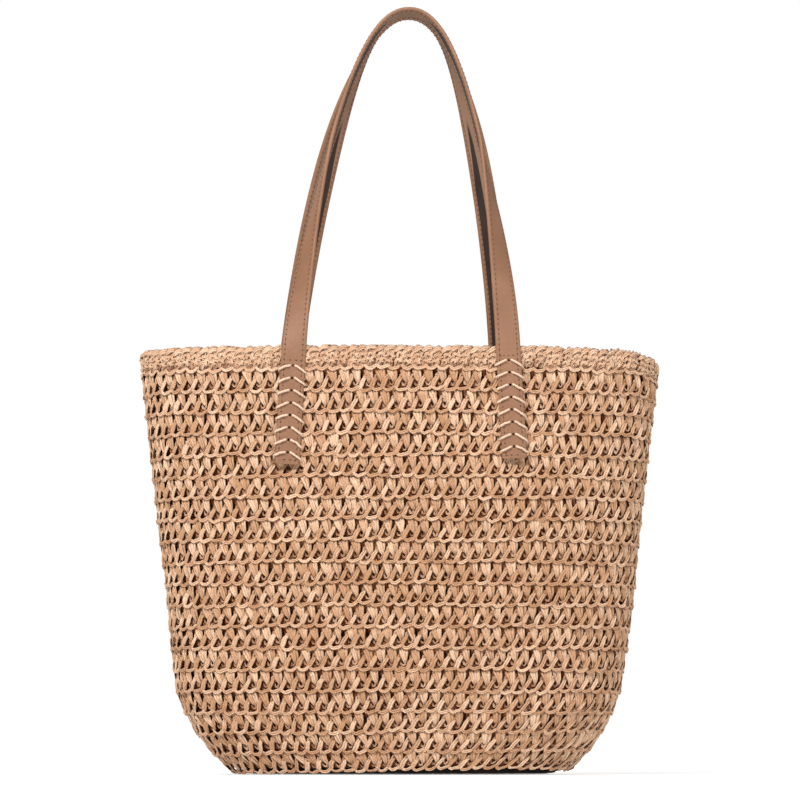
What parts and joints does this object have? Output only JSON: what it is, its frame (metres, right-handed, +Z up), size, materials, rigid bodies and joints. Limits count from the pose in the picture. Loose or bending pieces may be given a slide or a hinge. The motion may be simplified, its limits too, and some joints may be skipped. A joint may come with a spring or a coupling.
{
  "type": "beach bag",
  "caption": "Crocheted straw tote with a flat oval base, cloth lining with a zip pocket, and two leather strap handles laced to the wall.",
  "frame": {"origin": "middle of the flat base on the floor", "axes": "+Z up to the handles, +X to the bag's right seen from the front, -Y towards the front"},
  "size_m": [0.4232, 0.1556, 0.6321],
  "materials": {
    "straw": "matt paper straw",
    "strap_leather": "smooth satin",
    "strap_backing": "matt",
    "strap_core": "matt",
    "lacing_cord": "waxed",
    "lining_cloth": "plain weave",
    "zip_tape": "woven",
    "zip_metal": "satin"
  },
  "bodies": {
    "bag": {"crochet_base": "straw", "crochet_wall": "straw", "rim_edging": "straw", "lining_wall": "lining_cloth", "lining_base": "lining_cloth", "lining_hem": "lining_cloth", "front_left_tab": "strap_leather", "front_right_tab": "strap_leather", "back_left_tab": "strap_leather", "back_right_tab": "strap_leather", "front_left_lacing": "lacing_cord", "front_right_lacing": "lacing_cord", "back_left_lacing": "lacing_cord", "back_right_lacing": "lacing_cord", "zip_pocket_back": "lining_cloth", "zip_pocket_front": "lining_cloth", "zip_tapes": "zip_tape", "zip_teeth": "zip_metal", "zip_stops": "zip_metal", "snap_socket": "zip_metal", "snap_stud": "zip_metal"},
    "front_strap": {"front_strap_face": "strap_leather", "front_strap_core": "strap_core", "front_strap_backing": "strap_backing"},
    "back_strap": {"back_strap_face": "strap_leather", "back_strap_core": "strap_core", "back_strap_backing": "strap_backing"},
    "zip_slider": {"zip_slider": "zip_metal"},
    "zip_pull": {"zip_pull": "zip_metal"}
  },
  "joints": [
    {"name": "front_strap_swing", "type": "hinge", "parent": "bag", "child": "front_strap", "pos_m": [0, -0.0776, 0.344], "axis": [1, 0, 0], "range_deg": [0, 185]},
    {"name": "back_strap_swing", "type": "hinge", "parent": "bag", "child": "back_strap", "pos_m": [0, 0.0776, 0.344], "axis": [-1, 0, 0], "range_deg": [0, 185]},
    {"name": "zip_slide", "type": "slide", "parent": "bag", "child": "zip_slider", "axis": [1, 0, 0], "range_m": [0, 0.114]},
    {"name": "zip_pull_swing", "type": "hinge", "parent": "zip_slider", "child": "zip_pull", "pos_m": [-0.057, 0.056, 0.266], "axis": [0, 0, -1], "range_deg": [0, 170]}
  ]
}
